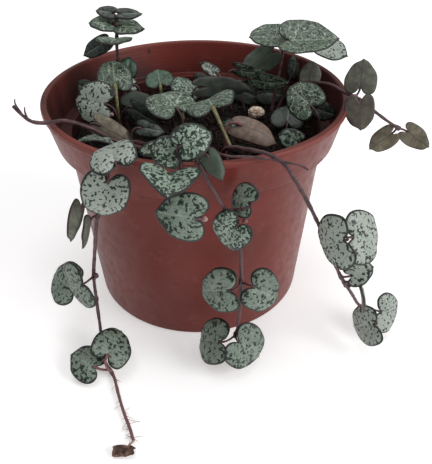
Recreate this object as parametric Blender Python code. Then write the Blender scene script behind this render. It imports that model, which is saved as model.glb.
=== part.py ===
"""A string of hearts in a plastic nursery pot, with its vines trailing over the rim.

Each vine, each leaf with its stalk, the soil, a lump of pumice and the pot is an object of
its own. Sizes below are in millimetres and the model is built in metres. The origin is at
the middle of the pot's underside, +Z is up and the front of the plant faces -Y.
"""

from math import cos, pi, radians, sin

import bmesh
import bpy
from mathutils import Vector

MM = 0.001
CLEARANCE = 0.3  # between two pieces that touch

# Pot: a tapered wall, a step, a wider collar and a thin lip
POT_HEIGHT = 90.0
RIM_RADIUS = 60.0
WALL_TAPER = 5.8  # how much narrower the base is than the top of the wall
STEP_WIDTH = 4.3
COLLAR_TAPER = 3.9
COLLAR_DEPTH = 15.8
LIP_DEPTH = 2.4
LIP_PROUD = 0.7
WALL = 1.6
FLOOR = 2.0
POT_SIDES = 48
DRAIN_HOLES = 6
DRAIN_DIAMETER = 4.6
DRAIN_CIRCLE = 30.0

# Soil
SOIL_DEPTH_BELOW_RIM = 19.0
SOIL_SIDES = 24
PUMICE_SIZE = (8.6, 6.8, 5.6)
DRIED_LEAF_SIZE = (9.0, 5.2, 4.2)

# Plant
VINE = 1.3  # diameter of a trailing stem
OLD_VINE = 1.8
STALK = 1.1  # diameter of a leaf's stalk
LEAF_THICKNESS = 1.4
VINE_STEP = 4.5  # length of one straight piece of a stem
OUTLINE_STEPS = 4  # points on each of the two curves of half a leaf
STALK_STEPS = 3

COLLAR_FOOT_RADIUS = RIM_RADIUS - COLLAR_TAPER
WALL_TOP_RADIUS = COLLAR_FOOT_RADIUS - STEP_WIDTH
BASE_RADIUS = WALL_TOP_RADIUS - WALL_TAPER
SOIL_TOP = POT_HEIGHT - SOIL_DEPTH_BELOW_RIM
STEP_HEIGHT = POT_HEIGHT - COLLAR_DEPTH


def wall_radius(height):
    """Outer radius of the pot's plain wall, below the collar."""
    return BASE_RADIUS + (WALL_TOP_RADIUS - BASE_RADIUS) * height / STEP_HEIGHT


SOIL_RADIUS = wall_radius(SOIL_TOP) - WALL - CLEARANCE


# Places on and around the pot. A bearing is in degrees from +X, anticlockwise from above.
def polar(bearing, radius, height):
    return Vector((radius * cos(radians(bearing)), radius * sin(radians(bearing)), height))


def inside(bearing, share, lift):
    """Over the soil, at a share of its radius."""
    return polar(bearing, share * SOIL_RADIUS, SOIL_TOP + lift)


def rim(bearing, out, lift):
    """Near the rim: so far outside it (or inside, if negative) and so far above it."""
    return polar(bearing, RIM_RADIUS + out, POT_HEIGHT + lift)


def drop(bearing, out, share):
    """Beside the pot, at a share of its height."""
    return polar(bearing, RIM_RADIUS + out, share * POT_HEIGHT)


def table(bearing, out, lift):
    """Over the surface that the pot stands on, so far beyond the rim."""
    return polar(bearing, RIM_RADIUS + out, lift)


def material(name, colour, roughness, metallic=0.0):
    made = bpy.data.materials.new(name)
    made.use_nodes = True
    shader = made.node_tree.nodes["Principled BSDF"]
    shader.inputs["Base Color"].default_value = (*colour, 1.0)
    shader.inputs["Roughness"].default_value = roughness
    shader.inputs["Metallic"].default_value = metallic
    return made


def add_object(name, mesh, finish, smooth_angle=None):
    mesh.materials.append(finish)
    if smooth_angle is not None:
        mesh.shade_smooth()
        mesh.set_sharp_from_angle(angle=radians(smooth_angle))
    made = bpy.data.objects.new(name, mesh)
    bpy.context.scene.collection.objects.link(made)
    return made


def mesh_from(name, points, faces):
    """A mesh in metres from points in millimetres, with its faces turned outwards."""
    mesh = bpy.data.meshes.new(name)
    mesh.from_pydata([Vector(p) * MM for p in points], [], faces)
    work = bmesh.new()
    work.from_mesh(mesh)
    bmesh.ops.recalc_face_normals(work, faces=work.faces)
    work.to_mesh(mesh)
    work.free()
    return mesh


def turned(name, profile, sides):
    """A closed solid turned about Z from (radius, height) pairs that start and end on it."""
    points = [(0.0, 0.0, profile[0][1])]
    for radius, height in profile[1:-1]:
        points += [polar(360 * k / sides, radius, height) for k in range(sides)]
    points.append((0.0, 0.0, profile[-1][1]))
    last = len(points) - 1
    faces = []
    for k in range(sides):
        after = (k + 1) % sides
        faces.append((0, 1 + after, 1 + k))
        faces.append((last, last - sides + k, last - sides + after))
        for ring in range(len(profile) - 3):
            low = 1 + ring * sides
            high = low + sides
            faces.append((low + k, low + after, high + after, high + k))
    return mesh_from(name, points, faces)


def build_pot():
    lip_foot = POT_HEIGHT - LIP_DEPTH
    collar_top = RIM_RADIUS - LIP_PROUD
    outer = [
        (BASE_RADIUS, 0.0),
        (WALL_TOP_RADIUS, STEP_HEIGHT),
        (COLLAR_FOOT_RADIUS, STEP_HEIGHT),
        (collar_top, lip_foot),
        (RIM_RADIUS, lip_foot + LIP_PROUD),
        (RIM_RADIUS, POT_HEIGHT),
    ]
    inner = [
        (collar_top - WALL, POT_HEIGHT),
        (COLLAR_FOOT_RADIUS - WALL, STEP_HEIGHT + WALL),
        (wall_radius(STEP_HEIGHT + WALL) - WALL, STEP_HEIGHT + WALL),
        (wall_radius(FLOOR) - WALL, FLOOR),
    ]
    profile = [(0.0, 0.0), *outer, *inner, (0.0, FLOOR)]
    plastic = material("terracotta_plastic", (0.21, 0.06, 0.045), 0.45)
    pot = add_object("pot", turned("pot", profile, POT_SIDES), plastic, 35)
    cut = pot.modifiers.new("drain holes", "BOOLEAN")
    cut.operation = "DIFFERENCE"
    cut.object = build_drain_cutter()


def build_drain_cutter():
    """One mesh of pins that stand through the floor of the pot."""
    work = bmesh.new()
    for k in range(DRAIN_HOLES):
        made = bmesh.ops.create_cone(
            work,
            cap_ends=True,
            segments=10,
            radius1=DRAIN_DIAMETER / 2 * MM,
            radius2=DRAIN_DIAMETER / 2 * MM,
            depth=3 * FLOOR * MM,
        )
        place = polar(360 * k / DRAIN_HOLES, DRAIN_CIRCLE, FLOOR / 2)
        bmesh.ops.translate(work, verts=made["verts"], vec=place * MM)
    mesh = bpy.data.meshes.new("drain_pins")
    work.to_mesh(mesh)
    work.free()
    cutter = bpy.data.objects.new("drain_pins", mesh)
    cutter.hide_render = True
    cutter.display_type = "WIRE"
    bpy.context.scene.collection.objects.link(cutter)
    return cutter


def build_soil():
    low = FLOOR + CLEARANCE
    profile = [
        (0.0, low),
        (wall_radius(low) - WALL - CLEARANCE, low),
        (SOIL_RADIUS, SOIL_TOP),
        (0.0, SOIL_TOP),
    ]
    compost = material("compost", (0.012, 0.010, 0.009), 0.95)
    add_object("soil", turned("soil", profile, SOIL_SIDES), compost, 35)


def build_lump(name, place, size, finish):
    """A rough lump of a given width, depth and height that lies over a place."""
    work = bmesh.new()
    bmesh.ops.create_icosphere(work, subdivisions=1, radius=0.5)
    for k, vertex in enumerate(work.verts):
        uneven = 1.0 - 0.14 * (k * 5 % 3) / 2
        vertex.co = Vector([a * b for a, b in zip(vertex.co, size)]) * uneven
    lowest = min(vertex.co.z for vertex in work.verts)
    for vertex in work.verts:
        vertex.co = (vertex.co + place - Vector((0.0, 0.0, lowest))) * MM
    mesh = bpy.data.meshes.new(name)
    work.to_mesh(mesh)
    work.free()
    add_object(name, mesh, finish)


def smooth_path(points, step):
    """Points about a step apart on a Catmull-Rom curve through the given ones."""
    ends = [2 * points[0] - points[1], *points, 2 * points[-1] - points[-2]]
    path = []
    for before, start, end, after in zip(ends, ends[1:], ends[2:], ends[3:]):
        pieces = max(1, round((end - start).length / step))
        for k in range(pieces):
            t = k / pieces
            path.append(
                0.5
                * (
                    2 * start
                    + (end - before) * t
                    + (2 * before - 5 * start + 4 * end - after) * t**2
                    + (3 * start - before - 3 * end + after) * t**3
                )
            )
    return [*path, points[-1]]


def build_vine(name, points, diameter, finish):
    """A stem: a tube along the smooth curve through its own points."""
    path = smooth_path(points, VINE_STEP)
    curve = bpy.data.curves.new(name, "CURVE")
    curve.dimensions = "3D"
    curve.bevel_depth = diameter / 2 * MM
    curve.bevel_resolution = 1
    curve.use_fill_caps = True
    curve.materials.append(finish)
    spline = curve.splines.new("POLY")
    spline.points.add(len(path) - 1)
    for knot, place in zip(spline.points, path):
        knot.co = (*(place * MM), 1.0)
    spline.use_smooth = True
    made = bpy.data.objects.new(name, curve)
    bpy.context.scene.collection.objects.link(made)
    return path


def bezier(a, b, c, d, t):
    s = 1.0 - t
    return s**3 * a + 3 * s * s * t * b + 3 * s * t * t * c + t**3 * d


def leaf_outline(length, width):
    """A heart broader than long, from the right of its notch round to the left of it."""
    half = width / 2
    notch = Vector((STALK * 0.5, 0.0))
    side = Vector((half, 0.24 * length))
    tip = Vector((0.0, length))
    lobe = (Vector((0.26 * half, -0.32 * length)), Vector((half, -0.30 * length)))
    shoulder = (Vector((half, 0.62 * length)), Vector((0.3 * half, 0.88 * length)))
    steps = [k / OUTLINE_STEPS for k in range(OUTLINE_STEPS + 1)]
    right = [bezier(notch, *lobe, side, t) for t in steps]
    right += [bezier(side, *shoulder, tip, t) for t in steps[1:]]
    return right + [Vector((-p.x, p.y)) for p in right[-2::-1]]


def nearest_on(path, place):
    """The nearest point to a place, on a path of straight pieces."""
    best = None
    for start, end in zip(path, path[1:]):
        run = end - start
        share = min(1.0, max(0.0, (place - start).dot(run) / run.length_squared))
        found = start + share * run
        if best is None or (found - place).length < (best - place).length:
            best = found
    return best


def stalk_path(base, direction, target, reach):
    """From the leaf's notch, straight out of it and then round to the target."""
    bend = base - direction * reach
    steps = [k / STALK_STEPS for k in range(1, STALK_STEPS + 1)]
    return [base.lerp(bend, t).lerp(bend.lerp(target, t), t) for t in steps]


def build_leaf(name, base, heading, pitch, roll, length, width, target, finish):
    """A fleshy heart with its stalk. heading and pitch say where its tip points."""
    h, p, r = radians(heading), radians(pitch), radians(roll)
    along = Vector((cos(p) * cos(h), cos(p) * sin(h), sin(p)))
    level = Vector((-sin(p) * cos(h), -sin(p) * sin(h), cos(p)))
    across = along.cross(level)
    up = cos(r) * level + sin(r) * across
    across = along.cross(up)
    middle = 0.38 * length
    outline = leaf_outline(length, width)
    count = len(outline)

    def at(x, y, z):
        return base + across * x + along * y + up * z

    thick = LEAF_THICKNESS / 2
    edge = [at(q.x, q.y, 0.0) for q in outline]
    top = [at(q.x * 0.86, middle + (q.y - middle) * 0.86, thick) for q in outline]
    under = [at(q.x * 0.86, middle + (q.y - middle) * 0.86, -thick) for q in outline]
    points = [*edge, *top, *under, at(0, middle, thick), at(0, middle, -thick)]
    faces = []
    for k in range(count - 1):
        e, t, u = k, count + k, 2 * count + k
        faces += [(e, e + 1, t + 1, t), (e, u, u + 1, e + 1)]
        faces += [(t, t + 1, 3 * count), (u + 1, u, 3 * count + 1)]
    first, last = 0, count - 1
    faces += [(2 * count - 1, count, 3 * count), (2 * count, 3 * count - 1, 3 * count + 1)]

    # the stalk goes on from the six corners of the notch
    ring = [2 * count - 1, count, first, 2 * count, 3 * count - 1, last]
    path = stalk_path(base, along, target, 0.45 * (target - base).length)
    before, sideways = base, across
    for place in path:
        run = (place - before).normalized()
        sideways = (sideways - sideways.dot(run) * run).normalized()
        upright = run.cross(sideways)
        made = []
        for turn in (120, 60, 0, -60, -120, 180):
            spoke = sideways * cos(radians(turn)) + upright * sin(radians(turn))
            made.append(len(points))
            points.append(place + spoke * STALK / 2)
        faces += [(ring[k], made[k], made[k - 1], ring[k - 1]) for k in range(6)]
        ring, before = made, place
    faces.append(tuple(ring))
    add_object(name, mesh_from(name, points, faces), finish, 50)


# Each stem's own points, from the soil outwards
VINES = {
    "stem_left": (VINE, [
        inside(232, 0.46, 1.0), inside(239, 0.66, 9), inside(243, 0.90, 16.5), rim(246, -5.4, 1.4),
        rim(248, 1.6, 1.3), rim(247, 5.0, -1.0), drop(244, 5.6, 0.88), drop(240, 5.6, 0.73),
        drop(237, 5.0, 0.58), drop(234.5, 5.2, 0.42), drop(234, 5.4, 0.27), drop(234.5, 6.2, 0.14),
        table(235.5, 7.8, 4.5), table(238, 11.0, 1.5), table(242, 14.0, 1.1), table(246, 17.5, 1.1),
        table(250, 24.0, 1.1), table(253.5, 30.5, 1.1), table(256.5, 36.5, 1.1), table(258, 40.5, 1.1),
    ]),
    "stem_centre": (VINE, [
        inside(266, 0.34, 1.0), inside(270, 0.60, 9), inside(272, 0.88, 17.5), rim(272, -6.0, 2.0),
        rim(272, 0.0, 2.4), rim(273.5, 3.6, 0.3), drop(276, 4.6, 0.94), drop(280, 4.6, 0.84),
        drop(283.5, 4.4, 0.76), drop(285, 4.3, 0.62), drop(285.5, 4.3, 0.44), drop(285, 4.3, 0.25),
        drop(284, 4.0, 0.16),
    ]),
    "stem_short": (VINE, [
        inside(250, 0.46, 1.0), inside(259, 0.74, 10), rim(264.5, -9.6, 0.6), rim(266.5, -2.0, 2.2),
        rim(267.5, 3.2, 0.0), drop(268.5, 5.6, 0.93), drop(270.5, 6.2, 0.86), drop(273.5, 6.6, 0.80),
    ]),
    "stem_right_front": (VINE, [
        inside(286, 0.58, 1.0), inside(283, 0.83, 11), rim(284, -9.5, 0.2), rim(288.5, -3.2, 2.2),
        rim(293, 1.4, 2.2), rim(296, 6.4, 0.6), drop(298, 10.0, 0.955), drop(300.5, 12.8, 0.88),
        drop(303, 14.6, 0.80), drop(306, 16.4, 0.70), drop(309, 17.6, 0.59), drop(312.5, 19.6, 0.47),
        drop(317, 21.6, 0.35), drop(321, 22.8, 0.25), drop(324.5, 23.6, 0.206),
    ]),
    "runner_left": (OLD_VINE, [
        inside(228, 0.50, 1.3), inside(225, 0.78, 10), rim(221, -12.0, -1.6), rim(217, -4.6, 2.2),
        rim(214.5, 0.8, 2.0), rim(213, 5.5, 3.0), rim(210.5, 8.0, 5.2), rim(208, 9.6, 7.4),
    ]),
    "stem_right": (VINE, [
        inside(28, 0.80, 1.0), inside(27, 0.85, 7), rim(20, -14.4, -5.0), rim(11, -13.3, -0.8),
        rim(-2.5, -9.4, 3.2), rim(-8, -6.4, 4.4), rim(-12, -2.2, 3.6), rim(-14, 2.6, 2.6),
        rim(-14.5, 8.5, -0.8),
        rim(-13.5, 15.0, -5.4), rim(-12, 20.0, -9.0),
    ]),
    "shoot_back_left": (VINE, [
        inside(152, 0.70, 1.0), inside(150, 0.74, 10), rim(149, -21.5, 1.0), rim(148, -21.0, 9.0),
        rim(146, -20.6, 16.0), rim(145, -20.6, 21.5),
    ]),
    "shoot_back_right": (VINE, [
        inside(30, 0.76, 1.0), inside(31, 0.80, 10), rim(32.5, -17.6, 1.0), rim(34, -15.8, 9.0),
    ]),
}

# name: stem, place of the notch, heading, pitch, roll, length, width
LEAVES = {
    "leaf_left_1": ("stem_left", rim(252.5, 11.6, 5.6), 108, 8, -17, 12.5, 15),
    "leaf_left_2": ("stem_left", drop(248.3, 8.8, 0.96), -148, -70, -65, 13.5, 15.5),
    "leaf_left_3": ("stem_left", drop(239.6, 10.8, 0.83), -118, -54, 85, 11.5, 8.5),
    "leaf_left_4": ("stem_left", drop(240.6, 9.4, 0.765), -106, -50, 75, 9, 7.5),
    "leaf_left_5": ("stem_left", drop(222.5, 7.0, 0.29), 140, -5, -45, 13, 18),
    "leaf_left_6": ("stem_left", drop(235, 10.5, 0.44), 150, -38, -78, 10, 20),
    "leaf_left_7": ("stem_left", table(243.8, 15.8, 11.0), 75, 5, 25, 14, 16.5),
    "leaf_left_8": ("stem_left", table(241, 19.6, 6.0), 155, 10, -30, 11.5, 14.5),
    "leaf_centre_1": ("stem_centre", drop(286, 8.0, 0.88), 127, -3, -60, 9.5, 11.5),
    "leaf_centre_2": ("stem_centre", drop(282.5, 9.8, 0.81), 165, -55, -75, 11.5, 14),
    "leaf_centre_3": ("stem_centre", drop(281, 9.0, 0.49), 155, -20, -65, 13, 16.5),
    "leaf_centre_4": ("stem_centre", drop(290, 8.0, 0.48), 8, -38, 62, 13, 16),
    "leaf_centre_5": ("stem_centre", drop(278.5, 7.5, 0.19), 140, -30, -50, 14.5, 18),
    "leaf_centre_6": ("stem_centre", drop(284.2, 8.2, 0.184), 9, -50, 60, 14.5, 18.5),
    "leaf_short_1": ("stem_short", drop(272, 12.0, 0.865), 175, 8, -62, 13, 15.5),
    "leaf_cluster_1": ("stem_centre", rim(268, 4.8, 9.2), 15, 20, 60, 10, 11),
    "leaf_cluster_2": ("stem_short", rim(266.5, 2.7, 5.0), 175, 20, -60, 8.5, 10),
    "leaf_cluster_3": ("stem_short", rim(265.5, 8.8, 2.0), -90, 3, -6, 12.5, 18),
    "leaf_cluster_4": ("stem_centre", rim(275.1, 2.9, 4.8), -38, -48, -128, 8.5, 6.5),
    "leaf_right_front_1": ("stem_right_front", drop(304.6, 26.6, 0.765), 137, -34, -80, 11.5, 19),
    "leaf_right_front_2": ("stem_right_front", drop(308.2, 25.4, 0.745), 28, -18, 55, 13.5, 18.5),
    "leaf_right_front_3": ("stem_right_front", drop(313.5, 22.4, 0.49), 5, 25, 45, 8.5, 9.5),
    "leaf_right_front_4": ("stem_right_front", drop(315, 24.4, 0.44), 35, -45, 90, 9, 11),
    "leaf_right_front_5": ("stem_right_front", drop(321.4, 31.0, 0.150), 138, -46, -75, 11.5, 17),
    "leaf_right_front_6": ("stem_right_front", drop(328.2, 29.0, 0.15), 20, -30, 60, 11.5, 17),
    "leaf_right_1": ("stem_right", rim(347.5, 3.1, 6.0), 80, 70, 175, 10, 12),
    "leaf_right_2": ("stem_right", rim(343.5, 6.2, 3.6), -85, -60, -160, 11, 11),
    "leaf_right_3": ("stem_right", rim(347.5, 17.6, -11.0), -175, -40, 125, 10, 8.5),
    "leaf_right_4": ("stem_right", rim(349, 23.2, -10.6), -30, -25, -120, 10, 8.5),
    "leaf_back_right_1": ("shoot_back_right", rim(28.5, -16.6, 12.0), -5, 3, 20, 19.5, 21.5),
    "leaf_back_right_2": ("shoot_back_right", rim(39, -16.6, 10.0), 178, 0, -14, 13.5, 16),
    "leaf_back_right_3": ("shoot_back_right", rim(33, 4.0, 5.6), -18, -13, 20, 12.5, 14.5),
    "leaf_back_left_1": ("shoot_back_left", rim(148.5, -16.9, 17.4), -175, 7, -16, 9, 10.5),
    "leaf_back_left_2": ("shoot_back_left", rim(142, -24.4, 17.4), 14, -5, 16, 9.5, 10.5),
    "leaf_back_left_3": ("shoot_back_left", rim(152.5, -24.2, 13.6), -94, -2, 0, 11, 14.5),
    "leaf_back_left_4": ("shoot_back_left", rim(149.5, -15.0, 9.8), -163, -22, -32, 10.5, 9.5),
    "leaf_back_left_5": ("shoot_back_left", rim(148, -16.9, 22.3), 175, 10, -30, 7, 6),
    "leaf_back_left_6": ("shoot_back_left", rim(141.5, -23.6, 22.5), 7, -2, 26, 8, 6),
    "leaf_inner_1": ("soil", inside(192.5, 0.72, 16), 160, 0, -60, 14, 17),
    "leaf_inner_2": ("soil", inside(172.5, 0.66, 19), 100, 40, 0, 12.5, 14.5),
    "leaf_inner_3": ("soil", inside(123.5, 0.60, 11), 100, 15, -5, 11, 13),
    "leaf_inner_4": ("soil", inside(244, 0.40, 19.5), 122, 10, 2, 15, 18.5),
    "leaf_inner_5": ("soil", inside(110.5, 0.32, 11), 80, 12, 25, 11, 13.5),
    "leaf_inner_6": ("soil", inside(170, 0.58, 9), 15, 15, -115, 10.5, 11),
    "leaf_inner_7": ("soil", inside(211, 0.84, 14), -5, -28, -120, 14, 9),
    "leaf_inner_8": ("soil", inside(288, 0.46, 21), 100, -5, -20, 14, 19),
    "leaf_inner_9": ("soil", inside(297.5, 0.71, 19), -10, -20, -143, 15, 9.5),
    "leaf_inner_10": ("soil", inside(345, 0.93, 17), 140, 26, -55, 12.5, 14.5),
}


def build_plant():
    stem_finish = material("purple_stem", (0.045, 0.018, 0.020), 0.5)
    leaf_finish = material("silver_leaf", (0.16, 0.19, 0.155), 0.45)
    paths = {
        name: build_vine(name, points, diameter, stem_finish)
        for name, (diameter, points) in VINES.items()
    }
    for name, (stem, base, heading, pitch, roll, length, width) in LEAVES.items():
        if stem == "soil":
            foot = base - polar(heading, 3.0, 0.0)
            target = Vector((foot.x, foot.y, SOIL_TOP + CLEARANCE))
        else:
            found = nearest_on(paths[stem], base)
            apart = (base - found).normalized()
            target = found + apart * (VINES[stem][0] / 2 + STALK / 2 + CLEARANCE)
        build_leaf(name, base, heading, pitch, roll, length, width, target, leaf_finish)


for old in list(bpy.data.objects):
    bpy.data.objects.remove(old)
build_pot()
build_soil()
pumice = material("pumice", (0.45, 0.37, 0.30), 0.9)
build_lump("pumice_lump", inside(27, 0.58, CLEARANCE), PUMICE_SIZE, pumice)
dried = material("dried_leaf", (0.14, 0.075, 0.045), 0.8)
build_lump("dried_leaf", table(257.2, 45.2, CLEARANCE), DRIED_LEAF_SIZE, dried)
build_plant()
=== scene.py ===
"""A young string of hearts in a terracotta-coloured nursery pot, built over its CAD frame.

Sizes are in millimetres and turned into metres as each mesh is made.
"""

import random
from math import cos, exp, pi, radians, sin, sqrt

import bmesh
import bpy
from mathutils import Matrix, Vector, noise


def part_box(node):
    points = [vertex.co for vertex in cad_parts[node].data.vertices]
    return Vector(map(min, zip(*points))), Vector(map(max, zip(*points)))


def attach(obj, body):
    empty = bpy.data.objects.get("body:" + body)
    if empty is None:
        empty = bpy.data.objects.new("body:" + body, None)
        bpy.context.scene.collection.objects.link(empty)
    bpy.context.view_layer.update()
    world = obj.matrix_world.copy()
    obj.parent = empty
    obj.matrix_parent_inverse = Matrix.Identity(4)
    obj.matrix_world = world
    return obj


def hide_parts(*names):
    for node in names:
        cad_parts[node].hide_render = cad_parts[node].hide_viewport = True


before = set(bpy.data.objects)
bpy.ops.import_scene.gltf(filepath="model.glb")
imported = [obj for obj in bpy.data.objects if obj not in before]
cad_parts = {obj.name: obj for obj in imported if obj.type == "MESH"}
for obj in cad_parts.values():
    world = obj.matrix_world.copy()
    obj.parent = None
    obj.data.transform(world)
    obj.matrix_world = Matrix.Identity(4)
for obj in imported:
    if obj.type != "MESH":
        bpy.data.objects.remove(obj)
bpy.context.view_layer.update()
scene = bpy.context.scene
MM = 0.001


# Camera
# It stands in front of the pot and a little above it, and looks down into its mouth.
LOOKING_DOWN = 36.6
camera_data = bpy.data.cameras.new("camera")
camera_data.sensor_width = 36
camera_data.lens = 44.46
camera_data.clip_start = 0.01
camera = bpy.data.objects.new("camera", camera_data)
camera.location = (0.00815, -0.2163, 0.180)
camera.rotation_euler = (radians(90 - LOOKING_DOWN), 0, 0)
scene.collection.objects.link(camera)
scene.camera = camera


# Nursery pot
# Thin polypropylene coloured like terracotta, moulded in one: a tapered wall, a step, a wider
# collar with a thin lip, and six drain holes. The mould leaves faint rings and a satin skin.
POT_HIGH = Vector(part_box("pot")[1]) / MM
POT_HEIGHT = POT_HIGH.z
RIM_RADIUS = POT_HIGH.x
BASE_RADIUS = RIM_RADIUS - 14.0
WALL_TOP_RADIUS = RIM_RADIUS - 8.2
COLLAR_FOOT_RADIUS = RIM_RADIUS - 3.9
STEP_HEIGHT = POT_HEIGHT - 15.8
POT_WALL = 1.6
POT_SIDES = 192
DRAIN_HOLES = 6
DRAIN_DIAMETER = 4.6
DRAIN_CIRCLE = 30.0


def polar(bearing, radius, height):
    """A place at a bearing in degrees from +X, anticlockwise from above."""
    return Vector((radius * cos(radians(bearing)), radius * sin(radians(bearing)), height))


def rounded_profile(corners):
    """(radius, height) points in which each (radius, height, rounding) corner is an arc."""
    found = []
    for k, (x, y, rounding) in enumerate(corners):
        here = Vector((x, y))
        if not rounding:
            found.append(here)
            continue
        before = Vector(corners[k - 1][:2]) - here
        after = Vector(corners[k + 1][:2]) - here
        start = here + before.normalized() * rounding
        end = here + after.normalized() * rounding
        for t in (0.0, 0.2, 0.4, 0.6, 0.8, 1.0):
            found.append(start.lerp(here, t).lerp(here.lerp(end, t), t))
    return found


def mesh_from(work, name):
    made = bpy.data.meshes.new(name)
    work.to_mesh(made)
    work.free()
    return made


def turned_mesh(name, profile, sides, jitter=None):
    """A closed solid turned about Z from points that start and end on the axis."""
    work = bmesh.new()
    rings = []
    for point in profile:
        if point[0] < 1e-6:
            rings.append([work.verts.new((0, 0, point[1] * MM))])
        else:
            places = [polar(360 * k / sides, point[0], point[1]) for k in range(sides)]
            rings.append([work.verts.new((jitter(p) if jitter else p) * MM) for p in places])
    for low, high in zip(rings, rings[1:]):
        for k in range(sides):
            after = (k + 1) % sides
            if len(low) == 1:
                work.faces.new((low[0], high[after], high[k]))
            elif len(high) == 1:
                work.faces.new((low[k], low[after], high[0]))
            else:
                work.faces.new((low[k], low[after], high[after], high[k]))
    bmesh.ops.recalc_face_normals(work, faces=work.faces)
    mesh = mesh_from(work, name)
    mesh.shade_smooth()
    return mesh


def place_piece(name, mesh):
    made = bpy.data.objects.new(name, mesh)
    scene.collection.objects.link(made)
    return made


def add_node(tree, kind, inputs=None, **settings):
    """A node with its settings, and with each input set or joined to another's output."""
    made = tree.nodes.new(kind)
    for key, value in settings.items():
        setattr(made, key, value)
    for key, value in (inputs or {}).items():
        if isinstance(value, bpy.types.NodeSocket):
            tree.links.new(value, made.inputs[key])
        else:
            made.inputs[key].default_value = value
    return made


def new_finish(name, roughness, **sockets):
    """A material, its tree and its shader, with the shader's own constants set."""
    made = bpy.data.materials.new(name)
    made.use_nodes = True
    shader = made.node_tree.nodes["Principled BSDF"]
    shader.inputs["Roughness"].default_value = roughness
    for key, value in sockets.items():
        shader.inputs[key.replace("_", " ")].default_value = value
    return made, made.node_tree, shader


def screen(red, green, blue):
    """A colour from its 0 to 255 screen values."""
    values = [v / 255 for v in (red, green, blue)]
    return (*[v / 12.92 if v < 0.04045 else ((v + 0.055) / 1.055) ** 2.4 for v in values], 1)


def blend_colours(tree, share, first, second, kind="MIX"):
    """The output of a colour mix, from first at share 0 to second at share 1."""
    made = add_node(tree, "ShaderNodeMix", data_type="RGBA", blend_type=kind)
    for socket, value in ((0, share), (6, first), (7, second)):
        if isinstance(value, bpy.types.NodeSocket):
            tree.links.new(value, made.inputs[socket])
        else:
            made.inputs[socket].default_value = value
    return made.outputs[2]


def stepped(tree, value, low, high, start=0.0, end=1.0):
    """A value's place between low and high, from start to end."""
    inputs = {"Value": value, "From Min": low, "From Max": high, "To Min": start, "To Max": end}
    made = add_node(tree, "ShaderNodeMapRange", inputs, interpolation_type="SMOOTHSTEP")
    return made.outputs["Result"]


def sums(tree, kind, first, second=0.0):
    made = add_node(tree, "ShaderNodeMath", {0: first, 1: second}, operation=kind)
    return made.outputs[0]


def vector_sums(tree, kind, first, second=None):
    inputs = {0: first} if second is None else {0: first, 1: second}
    return add_node(tree, "ShaderNodeVectorMath", inputs, operation=kind).outputs


def own_places(tree):
    """Where each point is on the piece itself, in metres."""
    return add_node(tree, "ShaderNodeTexCoord").outputs["Object"]


def cloud(tree, where, scale, detail=3.0, roughness=0.55):
    """Noise at so many features to the metre."""
    inputs = {"Vector": where, "Scale": scale, "Detail": detail, "Roughness": roughness}
    return add_node(tree, "ShaderNodeTexNoise", inputs).outputs["Fac"]


def bumped(tree, shader, height, depth, strength=1.0):
    inputs = {"Height": height, "Distance": depth, "Strength": strength}
    made = add_node(tree, "ShaderNodeBump", inputs)
    tree.links.new(made.outputs["Normal"], shader.inputs["Normal"])


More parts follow.
